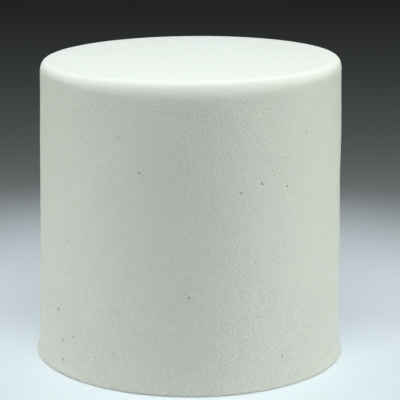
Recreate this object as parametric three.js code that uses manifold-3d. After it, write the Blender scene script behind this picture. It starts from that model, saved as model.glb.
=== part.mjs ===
// A tall round celebration cake, coated all over in smooth white buttercream.
// It is uncut, so it is one solid. Millimetres, +Z up, origin at the middle of its flat base.
import * as THREE from "three";
import { mergeVertices } from "three/addons/utils/BufferGeometryUtils.js";
import Module from "manifold-3d";

const wasm = await Module();
wasm.setup();

// Driving dimensions
const HEIGHT = 163; // from the base to the flat top
const BASE_RADIUS = 83; // of the wall just above its foot
const TOP_RADIUS = 81; // of the wall where it meets the rounded edge
const FOOT_REACH = 1.9; // how far the coat spreads out at its foot, on the left and the right
const FOOT_HEIGHT = 6;
const FOOT_FRONT = 0.3; // the share of that spread at the front and the back
const FOOT_SIDES = 8; // the higher this power, the less of the foot has the full spread
const FOOT_TUCK = 0.8; // the foot's lowest edge is turned in by this much, and is as high
const EDGE_REACH = 3.6; // the rounded top edge, across
const EDGE_DROP = 5.4; // the rounded top edge, down the wall
const TOP_TILT = { x: 0.0153, y: 0.004 }; // the top climbs this much per millimetre towards +X and +Y
const TILT_FADE = 6; // the wall below follows the top's tilt, less and less, by this power of its height

// How closely the solid follows the turned form
const SEGMENTS = 96;
const WALL_RINGS = 16;
const FOOT_RINGS = 4;
const EDGE_RINGS = 5;
const TOP_RINGS = 4;
const BASE_RINGS = 3;

// The hand-smoothed wall swells and dips: each wave runs a whole number of times round the cake,
// starting at +X, and swells and dips again up the wall.
const WALL_WAVES = [
  { depth: 0.2, round: 3, up: 150, phase: 0.4 },
  { depth: 0.16, round: 5, up: 95, phase: 2.1 },
  { depth: 0.12, round: 8, up: 62, phase: 4.3 },
  { depth: 0.08, round: 13, up: 48, phase: 1.2 },
];

// The top is one sweep of the scraper: a shallow crown and one wave across it.
const TOP_CROWN = 0.35;
const TOP_WAVE = { depth: 0.12, length: 74, phase: 0.8 };

// Air bubbles that burst in the coat. Each is a small round pit: how far round the cake it is,
// in degrees from the front and growing to the right, how high, and how wide its mouth is.
const SEEN_PITS = [
  { turn: -57.8, height: 34.5, mouth: 1.8 },
  { turn: -54.2, height: 8.1, mouth: 1.6 },
  { turn: -0.3, height: 52.7, mouth: 1.8 },
  { turn: -18.3, height: 116.3, mouth: 1.6 },
  { turn: 26.2, height: 110, mouth: 1.6 },
  { turn: -47.8, height: 22.8, mouth: 1.5 },
  { turn: -26.5, height: 133.1, mouth: 1.4 },
  { turn: -54.2, height: 18.7, mouth: 1.4 },
  { turn: 15.7, height: 86.4, mouth: 1.2 },
  { turn: 35.5, height: 16.8, mouth: 1.2 },
  { turn: -28, height: 19.5, mouth: 1.4 },
  { turn: 17.8, height: 106.4, mouth: 1.2 },
  { turn: -36.4, height: 15.1, mouth: 1.2 },
  { turn: 37, height: 107.1, mouth: 1.2 },
];
const SEEN_DETAIL = 1; // how finely a seen pit's ball is faceted
const SCATTERED_PITS = 30;
const SCATTERED_DETAIL = 0;
const SCATTER_SEED = 41;
const SCATTER_MOUTH = [0.8, 1.2]; // smallest and largest
const SCATTER_MARGIN = 9; // clear of the foot and of the rounded edge
const PIT_APART = 6; // between the middles of a scattered pit and any other
const PIT_SINK = 0.3; // a pit's ball sits this share of its radius inside the wall

const COLORS = { buttercream: 0xf1eee2 };

// The height of the flat top above its own level at one place, from its tilt, crown and wave
function topRise(x, y) {
  const out = Math.hypot(x, y) / TOP_RADIUS;
  const wave = Math.sin((2 * Math.PI * y) / TOP_WAVE.length + TOP_WAVE.phase);
  const tilt = TOP_TILT.x * x + TOP_TILT.y * y;
  return tilt + TOP_CROWN * (0.5 - out * out) + TOP_WAVE.depth * wave * (1 - out * out);
}

// How far the wall stands out or in at one place. It fades to nothing at the foot and the top.
function wallSwell(turn, height) {
  const low = THREE.MathUtils.smoothstep(height, FOOT_HEIGHT, 4 * FOOT_HEIGHT);
  const high = 1 - THREE.MathUtils.smoothstep(height, HEIGHT - 3 * EDGE_DROP, HEIGHT);
  let swell = 0;
  for (const wave of WALL_WAVES) {
    const up = Math.sin((2 * Math.PI * height) / wave.up + wave.phase);
    swell += wave.depth * Math.sin(wave.round * turn) * up;
  }
  return swell * low * high;
}

// How far the foot spreads out at one place: most on the left and the right
function footSpread(turn, height) {
  const share = FOOT_FRONT + (1 - FOOT_FRONT) * Math.cos(turn) ** FOOT_SIDES;
  const up = THREE.MathUtils.clamp((height - FOOT_TUCK) / (FOOT_HEIGHT - FOOT_TUCK), 0, 1);
  return FOOT_REACH * share * (1 - up) ** 2;
}

// The straight wall's radius, narrowing from the foot to the rounded edge
function wallRadius(height) {
  return THREE.MathUtils.mapLinear(height, 0, HEIGHT - EDGE_DROP, BASE_RADIUS, TOP_RADIUS);
}

// The outline that is turned: from the middle of the base, out, up the wall and in to the axis
function coatOutline() {
  const outline = [];
  for (let i = 0; i <= BASE_RINGS; i++) {
    outline.push(new THREE.Vector2(((BASE_RADIUS - FOOT_TUCK) * i) / BASE_RINGS, 0));
  }
  for (let i = 0; i < FOOT_RINGS; i++) {
    const height = THREE.MathUtils.mapLinear(i, 0, FOOT_RINGS, FOOT_TUCK, FOOT_HEIGHT);
    outline.push(new THREE.Vector2(wallRadius(height), height));
  }
  for (let i = 0; i < WALL_RINGS; i++) {
    const height = THREE.MathUtils.mapLinear(i, 0, WALL_RINGS, FOOT_HEIGHT, HEIGHT - EDGE_DROP);
    outline.push(new THREE.Vector2(wallRadius(height), height));
  }
  for (let i = 0; i <= EDGE_RINGS; i++) {
    const turn = (Math.PI / 2) * (i / EDGE_RINGS);
    const radius = TOP_RADIUS - EDGE_REACH * (1 - Math.cos(turn));
    const height = HEIGHT - EDGE_DROP * (1 - Math.sin(turn));
    outline.push(new THREE.Vector2(radius, height));
  }
  for (let i = 1; i <= TOP_RINGS; i++) {
    const radius = (TOP_RADIUS - EDGE_REACH) * (1 - i / TOP_RINGS);
    outline.push(new THREE.Vector2(radius, HEIGHT));
  }
  return outline;
}

// The outline turned about +Z, then given its foot, its swells, its tilt and its crown
function coatGeometry() {
  const geometry = new THREE.LatheGeometry(coatOutline(), SEGMENTS);
  geometry.rotateX(Math.PI / 2);
  const place = geometry.attributes.position;
  for (let i = 0; i < place.count; i++) {
    const x = place.getX(i);
    const y = place.getY(i);
    const z = place.getZ(i);
    const turn = Math.atan2(y, x);
    const wider = 1 + (wallSwell(turn, z) + footSpread(turn, z)) / BASE_RADIUS;
    place.setXYZ(i, x * wider, y * wider, z + topRise(x, y) * (z / HEIGHT) ** TILT_FADE);
  }
  return geometry;
}

// A repeatable draw between 0 and 1
function seededDraw(seed) {
  let state = seed;
  return () => {
    state = (state * 16807) % 2147483647;
    return state / 2147483647;
  };
}

// The seen pits, and more of the same all round, none closer to another than PIT_APART
function allPits() {
  const draw = seededDraw(SCATTER_SEED);
  const pits = SEEN_PITS.map((pit) => ({ ...pit, detail: SEEN_DETAIL }));
  const along = (pit) => THREE.MathUtils.degToRad(pit.turn) * BASE_RADIUS;
  while (pits.length < SEEN_PITS.length + SCATTERED_PITS) {
    const pit = {
      turn: 360 * draw() - 180,
      height: THREE.MathUtils.lerp(SCATTER_MARGIN, HEIGHT - EDGE_DROP - SCATTER_MARGIN, draw()),
      mouth: THREE.MathUtils.lerp(SCATTER_MOUTH[0], SCATTER_MOUTH[1], draw()),
      detail: SCATTERED_DETAIL,
    };
    const near = (other) =>
      Math.hypot(along(pit) - along(other), pit.height - other.height) < PIT_APART;
    if (!pits.some(near)) {
      pits.push(pit);
    }
  }
  return pits;
}

// The ball that hollows one pit out of the wall
function pitGeometry(pit) {
  const turn = THREE.MathUtils.degToRad(pit.turn) - Math.PI / 2;
  const ball = pit.mouth / 2;
  const wall = wallRadius(pit.height) + wallSwell(turn, pit.height) + footSpread(turn, pit.height);
  const out = wall - ball * PIT_SINK;
  const geometry = new THREE.IcosahedronGeometry(ball, pit.detail);
  geometry.translate(out * Math.cos(turn), out * Math.sin(turn), pit.height);
  return geometry;
}

// A closed geometry as a solid that can be cut
function solidOf(geometry) {
  const bare = geometry.clone();
  bare.deleteAttribute("normal");
  bare.deleteAttribute("uv");
  const merged = mergeVertices(bare, 1e-3);
  const triVerts = new Uint32Array(merged.index.array);
  const vertProperties = merged.attributes.position.array;
  return new wasm.Manifold(new wasm.Mesh({ numProp: 3, vertProperties, triVerts }));
}

// A solid as a geometry that a mesh can hold
function geometryOf(solid) {
  const { vertProperties, triVerts } = solid.getMesh();
  const geometry = new THREE.BufferGeometry();
  geometry.setAttribute("position", new THREE.BufferAttribute(vertProperties, 3));
  geometry.setIndex(new THREE.BufferAttribute(triVerts, 1));
  geometry.computeVertexNormals();
  return geometry;
}

function makeCake() {
  let solid = solidOf(coatGeometry());
  for (const pit of allPits()) {
    solid = solid.subtract(solidOf(pitGeometry(pit)));
  }
  const buttercream = new THREE.MeshStandardMaterial({
    name: "buttercream",
    color: COLORS.buttercream,
    roughness: 0.6,
    metalness: 0,
  });
  const mesh = new THREE.Mesh(geometryOf(solid), buttercream);
  mesh.name = "cake";
  return mesh;
}

const cake = new THREE.Group();
cake.name = "layer_cake";
cake.add(makeCake());

export default cake;
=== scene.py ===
"""A tall round cake in smooth white buttercream, finished and lit for a studio picture.

Geometry Nodes turn the coat from named sizes, let its surface swell and dip as a hand-smoothed
coat does, and cut the burst air bubbles out of it. Metres, +Z up, origin at the middle of the base.
"""

import math
from types import SimpleNamespace

import bpy
from bpy.props import FloatProperty, FloatVectorProperty, IntProperty, PointerProperty
from mathutils import Matrix, Vector


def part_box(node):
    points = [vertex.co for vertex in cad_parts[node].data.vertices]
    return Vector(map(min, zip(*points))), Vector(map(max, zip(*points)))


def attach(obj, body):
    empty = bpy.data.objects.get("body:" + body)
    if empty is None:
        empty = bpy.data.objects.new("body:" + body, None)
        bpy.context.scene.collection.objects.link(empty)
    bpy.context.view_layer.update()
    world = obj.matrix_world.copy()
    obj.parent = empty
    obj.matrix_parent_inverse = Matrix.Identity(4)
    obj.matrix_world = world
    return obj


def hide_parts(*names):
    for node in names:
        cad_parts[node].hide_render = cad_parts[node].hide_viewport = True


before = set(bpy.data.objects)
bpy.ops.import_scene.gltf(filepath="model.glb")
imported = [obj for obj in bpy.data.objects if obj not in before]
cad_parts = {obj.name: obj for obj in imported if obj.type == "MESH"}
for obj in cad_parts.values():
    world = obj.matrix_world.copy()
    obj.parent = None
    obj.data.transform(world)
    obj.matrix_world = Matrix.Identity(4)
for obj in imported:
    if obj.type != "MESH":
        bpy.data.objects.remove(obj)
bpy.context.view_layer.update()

bl_info = {
    "name": "Buttercream Cake",
    "version": (1, 0, 0),
    "blender": (4, 5, 0),
    "location": "View3D > Sidebar > Cake",
    "description": "Turns a tall round cake, coats it in smooth buttercream and lights it",
    "category": "Object",
}

MM = 0.001
CAKE_NODE = "cake"
CAKE_BODY = "root"

# The wall's radius at its base is half the solid's width, less what the foot spreads on each side
CAKE_LOW, CAKE_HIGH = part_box(CAKE_NODE)
FOOT_REACH = 1.9 * MM
BASE_RADIUS = (CAKE_HIGH.x - CAKE_LOW.x) / 2 - FOOT_REACH

# The hand-smoothed wall swells and dips: each wave runs a whole number of times round the cake,
# starting at +X, and swells and dips again up the wall
WALL_WAVES = [
    {"depth": 0.20 * MM, "round": 3, "up": 150 * MM, "phase": 0.4},
    {"depth": 0.16 * MM, "round": 5, "up": 95 * MM, "phase": 2.1},
    {"depth": 0.12 * MM, "round": 8, "up": 62 * MM, "phase": 4.3},
    {"depth": 0.08 * MM, "round": 13, "up": 48 * MM, "phase": 1.2},
]
SWELL_FROM = 4  # foot heights up, where the swells reach their full depth
SWELL_TO = 3  # edge drops below the top, where they start to fade again

# The top is one sweep of the scraper, with one wave across it. The wall below follows the top's
# tilt, less and less, by this power of its height.
TOP_WAVE = {"depth": 0.12 * MM, "length": 74 * MM, "phase": 0.8}
TILT_FADE = 6

# The higher this power, the narrower the front of the edge that slumps
SLUMP_FRONT = 4

# The fine relief fades in between these shares of the foot's height, and is this weak on the top
RELIEF_FADE_IN = (0.3, 3)
TOP_RELIEF = 0.5

# The bubbles that show on the front. Each is a small round pit: how far round the cake it is, in
# degrees from the front and growing to the right, and its height and its mouth in millimetres.
SEEN_PITS = [
    {"turn": -57.8, "height": 34.5, "mouth": 1.8},
    {"turn": -54.2, "height": 8.1, "mouth": 1.6},
    {"turn": -0.3, "height": 52.7, "mouth": 1.8},
    {"turn": -18.3, "height": 116.3, "mouth": 1.6},
    {"turn": 26.2, "height": 110, "mouth": 1.6},
    {"turn": -47.8, "height": 22.8, "mouth": 1.5},
    {"turn": -26.5, "height": 133.1, "mouth": 1.4},
    {"turn": -54.2, "height": 18.7, "mouth": 1.4},
    {"turn": 15.7, "height": 86.4, "mouth": 1.2},
    {"turn": 35.5, "height": 16.8, "mouth": 1.2},
    {"turn": -28, "height": 19.5, "mouth": 1.4},
    {"turn": 17.8, "height": 106.4, "mouth": 1.2},
    {"turn": -36.4, "height": 15.1, "mouth": 1.2},
    {"turn": 37, "height": 107.1, "mouth": 1.2},
]

# More of the same are scattered all round, in millimetres too
SCATTERED_PITS = 30
SCATTER_SEED = 41
SCATTER_MOUTH = (0.8, 1.2)  # smallest and largest
SCATTER_MARGIN = 9  # clear of the foot and of the rounded edge
PIT_APART = 6  # between the middles of a scattered pit and any other

# The repeatable draw that places them: each number is what is left over when the last one, times
# the factor, is divided by the range
DRAW_FACTOR = 16807
DRAW_RANGE = 2147483647

# The scraper drew the bubbles out this far round to the right, for this far down
DRAG_ROUND = 0.6
DRAG_DOWN = 0.8

# How finely the ball that hollows a pit is faceted, and a pinhole's
PIT_FINENESS = 3
PINHOLE_FINENESS = 2

PINHOLE_CLEAR = 2  # edge drops below the top, where the pinholes end
PINHOLE_THINNING = 0.25  # the share of them that is left at the top

# Edges sharper than this many degrees stay crisp, and points closer than this become one
CRISP_ANGLE = 40
MERGE_DISTANCE = 0.002 * MM

# The ripple follows a helix, which turns by this many radians in a metre of height. It leans one
# way on the left and the other way on the right, and changes over between these two places.
LEAN_LEFT = -6.0
LEAN_RIGHT = 8.5
LEAN_CHANGE = (-50 * MM, 60 * MM)
RIGHT_RIPPLE = 0.6  # the share of the ripple's depth on the right
RIPPLE_DRAW = 0.4  # the lower this is, the longer each ripple

# How strong the ripple, the mottle and the painted pore shade are
FOOT_ROUGH = 2.1
WALL_ROUGH = 0.93
WALL_ROUGH_FROM = 90 * MM  # the height where the foot's has faded to the wall's
TOP_ROUGH = 0.12  # as a share of the wall's
TOP_SMOOTHING = (152 * MM, 162 * MM)  # the heights between which the wall's fades to the top's

# The coat's two shades lie in soft clouds of this size. The noise gives all of the first shade at
# the first number and all of the second at the second, and so for the bare coat and the painted
# pore shade, darker specks of colour that stand in for the shade in tiny pores.
CLOUD_LENGTH = 26 * MM
CLOUD_RANGE = (-0.25, 0.25)
PAINTED_PORE_SHADE_RANGE = (0.1, -0.2)
SHEEN_CHANGE = 0.16  # how far the mottle changes the roughness

# How far red, green and blue light pass through the coat, as shares of the furthest
GLOW_COLOR = (1.0, 0.85, 0.6)
GLOW_REACH = 2.5 * MM

# How strongly the coat's surface mirrors
COAT_IOR = 1.45
COAT_SPECULAR = 0.2

# The floor, in metres
FLOOR_HALF = 6.0
FLOOR_ROUGHNESS = 0.6
FLOOR_SHEEN = {"length": 0.2, "change": 0.1}

# The camera, as fitted to the outline of the cake in the photograph, in metres and radians
CAMERA_PLACE = Vector((0, -0.8819, 0.2994))
CAMERA_YAW = 0.0061
CAMERA_PITCH = 0.2399
CAMERA_ROLL = 0.0062
SENSOR_WIDTH = 36  # millimetres

# The studio lights, in metres, watts and degrees. All point at the middle of the cake.
COOL_WHITE = (0.811, 0.918, 1.0)
CLEAR_WHITE = (0.950, 1.0, 1.0)
SOFT_WHITE = (0.941, 1.0, 0.930)
SPOT_ABOVE = {"place": (0, 0, 4), "size": 0.08, "power": 346, "spread": 12, "blend": 1.0}
SOFTBOX_ABOVE = {"place": (0, -0.35, 0.75), "size": 0.4, "power": 2.48, "spread": 180}
SOFTBOXES_AROUND = {
    "left": {"place": (-0.75, 0, 0.25), "size": 0.5, "power": 0.32, "spread": 50},
    "right": {"place": (0.75, 0, 0.25), "size": 0.5, "power": 0.30, "spread": 50},
    "right_front": {"place": (0.65, -0.55, 0.35), "size": 0.3, "power": 0.64, "spread": 180},
    "front": {"place": (0, -0.9, 0.25), "size": 0.6, "power": 0.16, "spread": 180},
}
LIGHT_TARGET = (0, 0, 0.08)


class Field:
    """A value that runs through a node tree, so that a formula of nodes reads as a formula."""

    def __init__(self, socket):
        self.socket = socket

    def math(self, operation, *others):
        """This value and others through one Math node."""
        node = self.socket.id_data.nodes.new("ShaderNodeMath")
        node.operation = operation
        for socket, value in zip(node.inputs, (self, *others)):
            feed(socket, value)
        return Field(node.outputs[0])

    def __add__(self, other):
        return self.math("ADD", other)

    def __sub__(self, other):
        return self.math("SUBTRACT", other)

    def __mul__(self, other):
        return self.math("MULTIPLY", other)

    def __truediv__(self, other):
        return self.math("DIVIDE", other)

    def __pow__(self, other):
        return self.math("POWER", other)

    def sin(self):
        return self.math("SINE")

    def cos(self):
        return self.math("COSINE")

    def share(self, low, high, start=0.0, end=1.0, kind="LINEAR"):
        """Where this value lies from low to high, from start to end and no further."""
        tree = self.socket.id_data
        feeds = {"Value": self, "From Min": low, "From Max": high, "To Min": start, "To Max": end}
        node = add(tree, "ShaderNodeMapRange", feeds, interpolation_type=kind)
        return Field(node.outputs["Result"])

    def smooth(self, low, high, start=0.0, end=1.0):
        """As share, with a soft start and a soft end."""
        return self.share(low, high, start, end, kind="SMOOTHSTEP")

    def axes(self):
        """The three parts of a vector."""
        node = add(self.socket.id_data, "ShaderNodeSeparateXYZ", {"Vector": self})
        return [Field(output) for output in node.outputs]


def feed(socket, value):
    """Links a field to a socket, or sets the socket to a plain value."""
    if isinstance(value, Field):
        socket.id_data.links.new(value.socket, socket)
    else:
        socket.default_value = value


def add(tree, kind, feeds=None, **settings):
    """A new node with its settings, and with what is fed to its inputs."""
    node = tree.nodes.new(kind)
    for name, value in settings.items():
        setattr(node, name, value)
    for key, value in (feeds or {}).items():
        feed(node.inputs[key], value)
    return node


def vector(tree, x, y, z):
    """Three values as one vector field."""
    return Field(add(tree, "ShaderNodeCombineXYZ", {"X": x, "Y": y, "Z": z}).outputs[0])


def position(tree):
    """The place of each point of the geometry, as a vector field."""
    return Field(add(tree, "GeometryNodeInputPosition").outputs[0])


def noise(tree, place, length, detail=2.0):
    """Soft noise about zero, from about -0.5 to 0.5, whose bumps are that length."""
    feeds = {"Vector": place, "Scale": length ** -1, "Detail": detail}
    return Field(add(tree, "ShaderNodeTexNoise", feeds).outputs[0]) - 0.5


def random_from(tree, least, most, seed):
    """A random number for each point, from least to most, through the node's decimal sockets."""
    node = add(tree, "FunctionNodeRandomValue", {2: least, 3: most, "Seed": seed})
    return Field(node.outputs[1])


class CakeShape(bpy.types.PropertyGroup):
    """The sizes that the coat is turned from."""

    height: FloatProperty(
        name="Height", description="From the base to the flat top",
        default=163 * MM, min=0.02, unit="LENGTH",
    )
    base_radius: FloatProperty(
        name="Base Radius", description="The wall's radius just above its foot",
        default=BASE_RADIUS, min=0.02, unit="LENGTH",
    )
    top_radius: FloatProperty(
        name="Top Radius", description="The wall's radius where it meets the rounded edge",
        default=81 * MM, min=0.02, unit="LENGTH",
    )
    foot_reach: FloatProperty(
        name="Foot Reach", description="How far the foot spreads out on the left and the right",
        default=FOOT_REACH, min=0, unit="LENGTH",
    )
    foot_height: FloatProperty(
        name="Foot Height", description="How high that spread starts",
        default=6 * MM, min=0, unit="LENGTH",
    )
    foot_front: FloatProperty(
        name="Foot Front", description="The share of that spread at the front and the back",
        default=0.3, min=0, max=1,
    )
    foot_sides: FloatProperty(
        name="Foot Sides", description="The higher this power, the less of the foot spreads fully",
        default=8, min=0,
    )
    foot_tuck: FloatProperty(
        name="Foot Tuck", description="How far the foot's lowest edge is turned in",
        default=0.5 * MM, min=0, unit="LENGTH",
    )
    edge_reach: FloatProperty(
        name="Edge Reach", description="The rounded top edge, across",
        default=3.6 * MM, min=0, unit="LENGTH",
    )
    edge_drop: FloatProperty(
        name="Edge Drop", description="The rounded top edge, down the wall",
        default=5.4 * MM, min=0, unit="LENGTH",
    )
    edge_slump: FloatProperty(
        name="Edge Slump", description="How much further down the edge rounds at the front",
        default=5 * MM, min=0, unit="LENGTH",
    )
    slump_in: FloatProperty(
        name="Slump In", description="The share of that slump by which it also rounds further in",
        default=0.2, min=0, max=1,
    )
    top_tilt: FloatProperty(
        name="Top Tilt", description="How much the top climbs towards +X, metre by metre",
        default=0.0153,
    )
    top_tilt_back: FloatProperty(
        name="Top Tilt Back", description="How much the top climbs towards +Y, metre by metre",
        default=0.004,
    )
    top_crown: FloatProperty(
        name="Top Crown", description="How much higher the top's middle is than its edge",
        default=0.35 * MM, unit="LENGTH",
    )
    relief: FloatProperty(
        name="Relief", description="How deep the fine unevenness of the coat is",
        default=0.16 * MM, min=0, unit="LENGTH",
    )
    relief_length: FloatProperty(
        name="Relief Length", description="How long the bumps of that unevenness are",
        default=6 * MM, min=MM, unit="LENGTH",
    )
    around: IntProperty(
        name="Segments Around", description="How many faces go round the cake", default=460, min=24
    )
    foot_rings: IntProperty(
        name="Foot Rings", description="Rings of faces up the foot", default=9, min=1
    )
    tuck_rings: IntProperty(
        name="Tuck Rings", description="Rings of faces round the foot's lowest edge",
        default=3, min=1,
    )
    wall_rings: IntProperty(
        name="Wall Rings", description="Rings of faces up the wall", default=136, min=1
    )
    edge_rings: IntProperty(
        name="Edge Rings", description="Rings of faces over the rounded edge", default=14, min=1
    )
    cap_rings: IntProperty(
        name="Cap Rings", description="Rings of faces over the top and the base", default=12, min=1
    )


class CakePits(bpy.types.PropertyGroup):
    """The air bubbles that burst in the coat."""

    sink: FloatProperty(
        name="Pit Sink", description="How deep a bubble's middle lies, as a share of its radius",
        default=0.3, min=0, max=0.9,
    )
    drag: FloatProperty(
        name="Pit Drag", description="The most that the scraper has drawn a bubble out",
        default=1.6, min=1,
    )
    pinhole_density: FloatProperty(
        name="Pinhole Density", description="Pinholes in a square metre of coat",
        default=2200, min=0,
    )
    pinhole_smallest: FloatProperty(
        name="Smallest Pinhole", description="The narrowest pinhole's mouth",
        default=0.30 * MM, min=0, unit="LENGTH",
    )
    pinhole_largest: FloatProperty(
        name="Largest Pinhole", description="The widest pinhole's mouth",
        default=0.75 * MM, min=0, unit="LENGTH",
    )
    pinhole_apart: FloatProperty(
        name="Pinhole Gap", description="The least distance between two pinholes",
        default=4 * MM, min=0, unit="LENGTH",
    )
    seed: IntProperty(name="Pinhole Seed", description="The draw that places the pinholes", default=7)


class CakeFinish(bpy.types.PropertyGroup):
    """The look of the buttercream."""

    color: FloatVectorProperty(
        name="Buttercream", description="The coat's own colour",
        default=(0.880, 0.872, 0.800), subtype="COLOR", min=0, max=1,
    )
    shade: FloatVectorProperty(
        name="Deeper Shade", description="The colour where the coat is a little thicker",
        default=(0.862, 0.852, 0.770), subtype="COLOR", min=0, max=1,
    )
    roughness: FloatProperty(
        name="Roughness", description="How matt the coat is", default=0.55, min=0, max=1
    )
    glow: FloatProperty(
        name="Glow", description="How much light passes through the coat's surface",
        default=0.15, min=0, max=1,
    )
    ripple_depth: FloatProperty(
        name="Ripple Depth", description="The scraper's fine slanting ripple, crest to trough",
        default=0.3 * MM, min=0, unit="LENGTH",
    )
    ripple_length: FloatProperty(
        name="Ripple Length", description="How wide one ripple is",
        default=1.1 * MM, min=0.1 * MM, unit="LENGTH",
    )
    mottle_depth: FloatProperty(
        name="Mottle Depth", description="The coat's soft mottling, crest to trough",
        default=0.4 * MM, min=0, unit="LENGTH",
    )
    mottle_length: FloatProperty(
        name="Mottle Length", description="How wide one bump of the mottling is",
        default=1.0 * MM, min=0.1 * MM, unit="LENGTH",
    )
    # Painted shade: darker specks in the coat's colour stand in for the shade in tiny pores
    pore: FloatVectorProperty(
        name="Pores", description="The colour inside the coat's tiny pores",
        default=(0.800, 0.793, 0.725), subtype="COLOR", min=0, max=1,
    )
    painted_pore_shade_amount: FloatProperty(
        name="Pore Shade", description="How much of that colour the pores show",
        default=0.9, min=0, max=1,
    )
    painted_pore_shade_length: FloatProperty(
        name="Pore Length", description="How wide one pore is",
        default=0.9 * MM, min=0.1 * MM, unit="LENGTH",
    )


class CakeStage(bpy.types.PropertyGroup):
    """The studio round the cake."""

    floor_color: FloatVectorProperty(
        name="Floor", description="The pale floor's colour",
        default=(0.74, 0.77, 0.79), subtype="COLOR", min=0, max=1,
    )
    surround: FloatProperty(
        name="Surround", description="How bright the dark room behind the lights is",
        default=0.005, min=0,
    )
    above: FloatProperty(
        name="Light From Above", description="How strong the lights above are", default=1, min=0
    )
    around: FloatProperty(
        name="Light From Around", description="How strong the lights round the cake are",
        default=1, min=0,
    )
    lens: FloatProperty(
        name="Lens", description="The camera's focal length in millimetres, on a 36 mm sensor",
        default=148.66, min=10,
    )


SETTINGS = {
    "cake_shape": CakeShape,
    "cake_pits": CakePits,
    "cake_finish": CakeFinish,
    "cake_stage": CakeStage,
}


def numbers_of(settings):
    """The whole and decimal numbers in a group of settings, by identifier."""
    found = {}
    for key, prop in settings.bl_rna.properties.items():
        if prop.type in {"INT", "FLOAT"} and not prop.is_array:
            found[key] = prop
    return found


def named_inputs(tree, *groups):
    """One named input on the tree for each number in those settings, and the fields they give."""
    source = tree.nodes.new("NodeGroupInput")
    fields = {}
    for settings in groups:
        for key, prop in numbers_of(settings).items():
            kind = "NodeSocketInt" if prop.type == "INT" else "NodeSocketFloat"
            tree.interface.new_socket(prop.name, in_out="INPUT", socket_type=kind)
            fields[key] = Field(source.outputs[prop.name])
    return SimpleNamespace(**fields, geometry=Field(source.outputs["Geometry"]))


def set_inputs(modifier, *groups):
    """Sets the modifier's inputs, by identifier, to those settings."""
    values = {}
    for settings in groups:
        for key, prop in numbers_of(settings).items():
            values[prop.name] = getattr(settings, key)
    for item in modifier.node_group.interface.items_tree:
        if item.in_out == "INPUT" and item.name in values:
            modifier[item.identifier] = values[item.name]


def wall_swell(turn, height, size):
    """How far the wall stands out or in: nothing at the foot and at the top."""
    low = height.smooth(size.foot_height, size.foot_height * SWELL_FROM)
    high = height.smooth(size.height - size.edge_drop * SWELL_TO, size.height, 1.0, 0.0)
    swell = None
    for wave in WALL_WAVES:
        up = (height * (2 * math.pi / wave["up"]) + wave["phase"]).sin()
        part = (turn * wave["round"]).sin() * up * wave["depth"]
        swell = part if swell is None else swell + part
    return swell * low * high


def foot_spread(turn, height, size):
    """How far the foot spreads out: most on the left and the right."""
    share = turn.cos().math("ABSOLUTE") ** size.foot_sides * (size.foot_front * -1 + 1)
    up = height.share(size.foot_tuck, size.foot_height)
    return size.foot_reach * (share + size.foot_front) * (up * -1 + 1) ** 2


def top_rise(x, y, size):
    """How far the flat top stands above its own level, from its tilt, crown and wave."""
    out = (x * x + y * y) / (size.top_radius * size.top_radius)
    wave = (y * (2 * math.pi / TOP_WAVE["length"]) + TOP_WAVE["phase"]).sin() * TOP_WAVE["depth"]
    tilt = size.top_tilt * x + size.top_tilt_back * y
    return tilt + size.top_crown * (out * -1 + 0.5) + wave * (out * -1 + 1)


def turned_place(tree, size):
    """Where each point of a unit cylinder goes on the turned coat."""
    x, y, z = position(tree).axes()
    turn = y.math("ARCTAN2", x)
    inward = (x * x + y * y).math("SQRT")
    foot_top = size.tuck_rings + size.foot_rings
    wall_top = foot_top + size.wall_rings
    ring = (z + 0.5) * (wall_top + size.edge_rings)
    tuck = ring.share(0.0, size.tuck_rings) * (math.pi / 2)
    foot = ring.share(size.tuck_rings, foot_top)
    wall = ring.share(foot_top, wall_top)
    edge = ring.share(wall_top, wall_top + size.edge_rings) * (math.pi / 2)
    slump = size.edge_slump * (turn.sin() * -1).math("MAXIMUM", 0.0) ** SLUMP_FRONT
    reach = size.edge_reach + slump * size.slump_in
    drop = size.edge_drop + slump
    straight = size.height - drop
    up = (tuck.cos() * -1 + 1) * size.foot_tuck
    up = up + foot * (size.foot_height - size.foot_tuck) + wall * (straight - size.foot_height)
    out = size.base_radius + (size.top_radius - size.base_radius) * (up / straight)
    out = out - (tuck.sin() * -1 + 1) * size.foot_tuck
    out = (out - reach * (edge.cos() * -1 + 1)) * inward
    up = up + edge.sin() * drop
    level_x = turn.cos() * out
    level_y = turn.sin() * out
    swell = wall_swell(turn, up, size) + foot_spread(turn, up, size)
    wider = swell / size.base_radius + 1
    rise = top_rise(level_x, level_y, size) * (up / size.height) ** TILT_FADE
    return vector(tree, level_x * wider, level_y * wider, up + rise)


def turned_coat(tree, size):
    """The closed coat, turned and then given its fine relief."""
    cylinder = add(
        tree, "GeometryNodeMeshCylinder",
        {
            "Vertices": size.around,
            "Side Segments": size.tuck_rings + size.foot_rings + size.wall_rings + size.edge_rings,
            "Fill Segments": size.cap_rings,
            "Radius": 1.0,
            "Depth": 1.0,
        },
        fill_type="TRIANGLE_FAN",
    )
    turned = add(
        tree, "GeometryNodeSetPosition",
        {"Geometry": Field(cylinder.outputs["Mesh"]), "Position": turned_place(tree, size)},
    )
    place = position(tree)
    height = place.axes()[2]
    start, end = RELIEF_FADE_IN
    clear = height.smooth(size.foot_height * start, size.foot_height * end)
    calm = height.smooth(size.height - size.edge_drop, size.height, 1.0, TOP_RELIEF)
    depth = noise(tree, place, size.relief_length) * size.relief * 2 * clear * calm
    normal = Field(add(tree, "GeometryNodeInputNormal").outputs[0])
    offset = add(
        tree, "ShaderNodeVectorMath", {0: normal, "Scale": depth}, operation="SCALE"
    )
    uneven = add(
        tree, "GeometryNodeSetPosition",
        {"Geometry": Field(turned.outputs[0]), "Offset": Field(offset.outputs[0])},
    )
    return Field(uneven.outputs[0])


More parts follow.
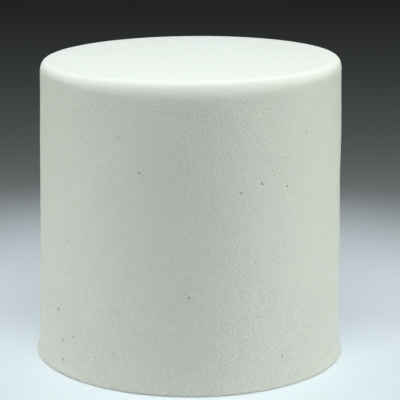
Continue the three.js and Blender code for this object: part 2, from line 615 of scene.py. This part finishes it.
def pit_balls(tree, points, mouth, size, fineness):
    """A ball on each point, drawn out a little along the scraper's path and sunk into the coat."""
    x, y = position(tree).axes()[:2]
    turn = y.math("ARCTAN2", x)
    deep = mouth * 0.5 * size.sink * -1
    sunk = add(
        tree, "GeometryNodeSetPosition",
        {"Geometry": points, "Offset": vector(tree, turn.cos() * deep, turn.sin() * deep, 0.0)},
    )
    ball = add(tree, "GeometryNodeMeshIcoSphere", {"Radius": 0.5, "Subdivisions": fineness})
    along = vector(tree, turn.sin() * -DRAG_ROUND, turn.cos() * DRAG_ROUND, -DRAG_DOWN)
    lean = add(tree, "FunctionNodeAlignRotationToVector", {"Vector": along}, axis="Z")
    stretch = mouth * random_from(tree, 1.0, size.drag, size.seed)
    placed = add(
        tree, "GeometryNodeInstanceOnPoints",
        {
            "Points": Field(sunk.outputs[0]),
            "Instance": Field(ball.outputs["Mesh"]),
            "Rotation": Field(lean.outputs[0]),
            "Scale": vector(tree, mouth, mouth, stretch),
        },
    )
    return Field(placed.outputs[0])


def large_pits(tree, coat, size):
    """The pits whose places come in as points, each put on the coat's surface."""
    nearest = add(tree, "GeometryNodeProximity", {0: coat}, target_element="FACES")
    points = add(
        tree, "GeometryNodeSetPosition",
        {"Geometry": size.geometry, "Position": Field(nearest.outputs["Position"])},
    )
    named = add(tree, "GeometryNodeInputNamedAttribute", {"Name": "mouth"}, data_type="FLOAT")
    mouth = Field(named.outputs["Attribute"])
    return pit_balls(tree, Field(points.outputs[0]), mouth, size, PIT_FINENESS)


def pinholes(tree, coat, size):
    """Finer pits all round the wall, closer together towards the foot."""
    height = position(tree).axes()[2]
    above = height.math("GREATER_THAN", size.foot_height)
    below = height.math("LESS_THAN", size.height - size.edge_drop * PINHOLE_CLEAR)
    thinning = height.share(0.0, size.height, 1.0, PINHOLE_THINNING)
    scatter = add(
        tree, "GeometryNodeDistributePointsOnFaces",
        {
            "Mesh": coat,
            "Selection": above * below,
            "Distance Min": size.pinhole_apart,
            "Density Max": size.pinhole_density,
            "Density Factor": thinning,
            "Seed": size.seed,
        },
        distribute_method="POISSON",
    )
    mouth = random_from(tree, size.pinhole_smallest, size.pinhole_largest, size.seed + 1)
    return pit_balls(tree, Field(scatter.outputs["Points"]), mouth, size, PINHOLE_FINENESS)


def coat_tree(shape, pits, material):
    """The node tree of the whole coat: turned, uneven, pitted and in its material."""
    tree = bpy.data.node_groups.new("Buttercream Coat", "GeometryNodeTree")
    tree.interface.new_socket("Geometry", in_out="INPUT", socket_type="NodeSocketGeometry")
    tree.interface.new_socket("Geometry", in_out="OUTPUT", socket_type="NodeSocketGeometry")
    size = named_inputs(tree, shape, pits)
    coat = turned_coat(tree, size)
    balls = add(tree, "GeometryNodeJoinGeometry")
    feed(balls.inputs[0], large_pits(tree, coat, size))
    feed(balls.inputs[0], pinholes(tree, coat, size))
    solid_balls = add(tree, "GeometryNodeRealizeInstances", {0: Field(balls.outputs[0])})
    pitted = add(
        tree, "GeometryNodeMeshBoolean",
        {"Mesh 1": coat, "Mesh 2": Field(solid_balls.outputs[0])},
        operation="DIFFERENCE", solver="MANIFOLD",
    )
    smooth = add(
        tree, "GeometryNodeSetShadeSmooth", {0: Field(pitted.outputs["Mesh"])}, domain="FACE"
    )
    angle = Field(add(tree, "GeometryNodeInputMeshEdgeAngle").outputs[0])
    crisp = add(
        tree, "GeometryNodeSetShadeSmooth",
        {
            0: Field(smooth.outputs[0]),
            "Selection": angle.math("GREATER_THAN", math.radians(CRISP_ANGLE)),
            "Shade Smooth": False,
        },
        domain="EDGE",
    )
    joined = add(
        tree, "GeometryNodeMergeByDistance",
        {0: Field(crisp.outputs[0]), "Distance": MERGE_DISTANCE},
    )
    real = add(tree, "GeometryNodeRealizeInstances", {0: Field(joined.outputs[0])})
    dressed = add(
        tree, "GeometryNodeSetMaterial", {"Geometry": Field(real.outputs[0]), "Material": material}
    )
    add(tree, "NodeGroupOutput", {0: Field(dressed.outputs[0])})
    return tree


def seeded_draw(seed):
    """A repeatable run of numbers between 0 and 1."""
    state = seed
    while True:
        state = (state * DRAW_FACTOR) % DRAW_RANGE
        yield state / DRAW_RANGE


def all_pits(shape):
    """The seen pits and the scattered ones, in degrees and millimetres, as in the solid."""
    draw = seeded_draw(SCATTER_SEED)
    pits = list(SEEN_PITS)
    lowest = SCATTER_MARGIN
    highest = (shape.height - shape.edge_drop) / MM - SCATTER_MARGIN
    while len(pits) < len(SEEN_PITS) + SCATTERED_PITS:
        turn = 360 * next(draw) - 180
        height = lowest + (highest - lowest) * next(draw)
        mouth = SCATTER_MOUTH[0] + (SCATTER_MOUTH[1] - SCATTER_MOUTH[0]) * next(draw)
        apart = [
            math.hypot(
                math.radians(turn - other["turn"]) * shape.base_radius / MM,
                height - other["height"],
            )
            for other in pits
        ]
        if min(apart) >= PIT_APART:
            pits.append({"turn": turn, "height": height, "mouth": mouth})
    return pits


def pit_points(shape):
    """A mesh of one loose point for each pit, with the width of its mouth."""
    places = []
    mouths = []
    for pit in all_pits(shape):
        turn = math.radians(pit["turn"] - 90)
        places.append(
            (
                shape.base_radius * math.cos(turn),
                shape.base_radius * math.sin(turn),
                pit["height"] * MM,
            )
        )
        mouths.append(pit["mouth"] * MM)
    mesh = bpy.data.meshes.new("pit_points")
    mesh.from_pydata(places, [], [])
    mesh.attributes.new("mouth", "FLOAT", "POINT").data.foreach_set("value", mouths)
    return mesh


def mixed(tree, share, first, second):
    """Two colours mixed, with that share of the second, through the node's colour sockets."""
    node = add(tree, "ShaderNodeMix", {0: share, 6: first, 7: second}, data_type="RGBA")
    return Field(node.outputs[2])


def slanting(tree, place, length, twist):
    """Noise drawn out along a helix, which turns by the twist in a metre of height."""
    height = place.axes()[2]
    helix = add(
        tree, "ShaderNodeVectorRotate",
        {"Vector": place, "Angle": height * twist}, rotation_type="Z_AXIS",
    )
    x, y, z = Field(helix.outputs[0]).axes()
    return noise(tree, vector(tree, x, y, z * RIPPLE_DRAW), length, detail=1.0)


def buttercream_material(finish):
    """Smooth white buttercream: a slanting ripple, a fine mottle and painted shade in tiny pores."""
    material = bpy.data.materials.new("smooth_buttercream")
    material.use_nodes = True
    tree = material.node_tree
    surface = tree.nodes["Principled BSDF"]
    place = Field(add(tree, "ShaderNodeTexCoord").outputs["Object"])
    across, _, up = place.axes()

    # The ripple leans in from both sides
    lean_left = slanting(tree, place, finish.ripple_length, LEAN_LEFT)
    lean_right = slanting(tree, place, finish.ripple_length, LEAN_RIGHT)
    right = across.smooth(*LEAN_CHANGE)
    ripple = lean_left * (right * -1 + 1) + lean_right * right * RIGHT_RIPPLE
    mottle = noise(tree, place, finish.mottle_length, detail=1.0)
    # The noise that places the painted pore shade
    pores = noise(tree, place, finish.painted_pore_shade_length, detail=1.0)

    # All is rougher lower down, with more painted pore shade, and the top is smooth
    rough = up.smooth(0.0, WALL_ROUGH_FROM, FOOT_ROUGH, WALL_ROUGH)
    rough = rough * up.smooth(*TOP_SMOOTHING, 1.0, TOP_ROUGH)
    height = ripple * finish.ripple_depth + mottle * finish.mottle_depth
    height = height * rough
    bump = add(tree, "ShaderNodeBump", {"Height": height, "Distance": 1.0, "Strength": 1.0})

    cloud = noise(tree, place, CLOUD_LENGTH).share(*CLOUD_RANGE)
    tint = mixed(tree, cloud, (*finish.color, 1), (*finish.shade, 1))
    # Painted shade: the lowest parts of that noise darken the colour into specks, more so lower down
    deep = pores.share(*PAINTED_PORE_SHADE_RANGE) * rough * finish.painted_pore_shade_amount
    feed(surface.inputs["Base Color"], mixed(tree, deep, tint, (*finish.pore, 1)))
    feed(surface.inputs["Roughness"], mottle * SHEEN_CHANGE + finish.roughness)
    feed(surface.inputs["Normal"], Field(bump.outputs[0]))
    surface.inputs["Subsurface Weight"].default_value = finish.glow
    surface.inputs["Subsurface Radius"].default_value = GLOW_COLOR
    surface.inputs["Subsurface Scale"].default_value = GLOW_REACH
    surface.inputs["IOR"].default_value = COAT_IOR
    surface.inputs["Specular IOR Level"].default_value = COAT_SPECULAR
    return material


def floor_material(color):
    """A plain pale floor with the faintest unevenness in its sheen."""
    material = bpy.data.materials.new("pale_floor")
    material.use_nodes = True
    tree = material.node_tree
    surface = tree.nodes["Principled BSDF"]
    place = Field(add(tree, "ShaderNodeTexCoord").outputs["Object"])
    surface.inputs["Base Color"].default_value = (*color, 1)
    unevenness = noise(tree, place, FLOOR_SHEEN["length"]) * FLOOR_SHEEN["change"]
    feed(surface.inputs["Roughness"], unevenness + FLOOR_ROUGHNESS)
    return material


def link(thing):
    """Puts a new object in the scene."""
    bpy.context.scene.collection.objects.link(thing)
    return thing


def aimed(place, target):
    """A turned and placed matrix whose -Z points from place to target."""
    turn = (Vector(target) - Vector(place)).to_track_quat("-Z", "Y")
    return Matrix.Translation(place) @ turn.to_matrix().to_4x4()


def hang(name, light, place, color):
    """Hangs a light in that colour, aimed at the cake."""
    light.color = color
    made = link(bpy.data.objects.new(name, light))
    made.matrix_world = aimed(place, LIGHT_TARGET)


def softbox(name, box, color, strength):
    """A round soft light."""
    light = bpy.data.lights.new(name, "AREA")
    light.shape = "DISK"
    light.size = box["size"]
    light.spread = math.radians(box["spread"])
    light.energy = box["power"] * strength
    hang(name, light, box["place"], color)


def spot(name, lamp, color, strength):
    """A round spot with a soft rim."""
    light = bpy.data.lights.new(name, "SPOT")
    light.shadow_soft_size = lamp["size"] / 2
    light.spot_size = math.radians(lamp["spread"])
    light.spot_blend = lamp["blend"]
    light.energy = lamp["power"] * strength
    hang(name, light, lamp["place"], color)


class CAKE_OT_coated_cake(bpy.types.Operator):
    """Turns the coated cake, cuts its pits and puts it in place of the plain solid"""

    bl_idname = "cake.coated_cake"
    bl_label = "Coated Cake"

    def execute(self, context):
        scene = context.scene
        material = buttercream_material(scene.cake_finish)
        maker = link(bpy.data.objects.new("coat_maker", pit_points(scene.cake_shape)))
        modifier = maker.modifiers.new("Buttercream Coat", "NODES")
        modifier.node_group = coat_tree(scene.cake_shape, scene.cake_pits, material)
        set_inputs(modifier, scene.cake_shape, scene.cake_pits)
        context.view_layer.update()
        evaluated = maker.evaluated_get(context.evaluated_depsgraph_get())
        mesh = bpy.data.meshes.new_from_object(evaluated)
        mesh.name = "coated_cake"

        # The nodes leave an empty slot before the buttercream's
        mesh.materials.pop(index=0)
        mesh.attributes.remove(mesh.attributes["mouth"])
        bpy.data.objects.remove(maker)
        cake = link(bpy.data.objects.new("coated_cake", mesh))
        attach(cake, CAKE_BODY)
        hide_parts(CAKE_NODE)
        return {"FINISHED"}


class CAKE_OT_stage(bpy.types.Operator):
    """Lays the pale floor, hangs the lights and sets up the camera"""

    bl_idname = "cake.stage"
    bl_label = "Stage"

    def execute(self, context):
        stage = context.scene.cake_stage
        self.lay_floor(stage)
        self.hang_lights(context.scene, stage)
        self.set_camera(context.scene, stage)
        context.scene.view_settings.view_transform = "Standard"
        return {"FINISHED"}

    def lay_floor(self, stage):
        half = FLOOR_HALF
        mesh = bpy.data.meshes.new("floor")
        corners = [(-half, -half, 0), (half, -half, 0), (half, half, 0), (-half, half, 0)]
        mesh.from_pydata(corners, [], [(0, 1, 2, 3)])
        mesh.materials.append(floor_material(stage.floor_color))
        link(bpy.data.objects.new("floor", mesh))

    def hang_lights(self, scene, stage):
        spot("spot_above", SPOT_ABOVE, COOL_WHITE, stage.above)
        softbox("softbox_above", SOFTBOX_ABOVE, CLEAR_WHITE, stage.above)
        for name, box in SOFTBOXES_AROUND.items():
            softbox(name, box, SOFT_WHITE, stage.around)
        world = bpy.data.worlds.new("dark_room")
        world.use_nodes = True
        room = world.node_tree.nodes["Background"]
        room.inputs["Color"].default_value = (1, 1, 1, 1)
        room.inputs["Strength"].default_value = stage.surround
        scene.world = world

    def set_camera(self, scene, stage):
        camera = bpy.data.cameras.new("camera")
        camera.lens = stage.lens
        camera.sensor_width = SENSOR_WIDTH
        made = link(bpy.data.objects.new("camera", camera))
        level = Matrix.Rotation(-CAMERA_YAW, 4, "Z") @ Matrix.Rotation(math.pi / 2, 4, "X")
        tip = Matrix.Rotation(-CAMERA_PITCH, 4, "X") @ Matrix.Rotation(CAMERA_ROLL, 4, "Z")
        made.matrix_world = Matrix.Translation(CAMERA_PLACE) @ level @ tip
        scene.camera = made


class CAKE_PT_panel(bpy.types.Panel):
    """The cake's settings and the buttons that make it"""

    bl_idname = "CAKE_PT_panel"
    bl_label = "Buttercream Cake"
    bl_space_type = "VIEW_3D"
    bl_region_type = "UI"
    bl_category = "Cake"

    def draw(self, context):
        for name in SETTINGS:
            settings = getattr(context.scene, name)
            box = self.layout.box()
            box.label(text=settings.bl_rna.description)
            for key in settings.__annotations__:
                box.prop(settings, key)
        for operator in OPERATORS:
            self.layout.operator(operator.bl_idname)


OPERATORS = [CAKE_OT_coated_cake, CAKE_OT_stage]
CLASSES = [*SETTINGS.values(), *OPERATORS, CAKE_PT_panel]


def register():
    for cls in CLASSES:
        bpy.utils.register_class(cls)
    for name, cls in SETTINGS.items():
        setattr(bpy.types.Scene, name, PointerProperty(type=cls))


def unregister():
    for name in SETTINGS:
        delattr(bpy.types.Scene, name)
    for cls in reversed(CLASSES):
        bpy.utils.unregister_class(cls)


def main():
    register()
    bpy.ops.cake.coated_cake()
    bpy.ops.cake.stage()


if __name__ == "__main__":
    main()
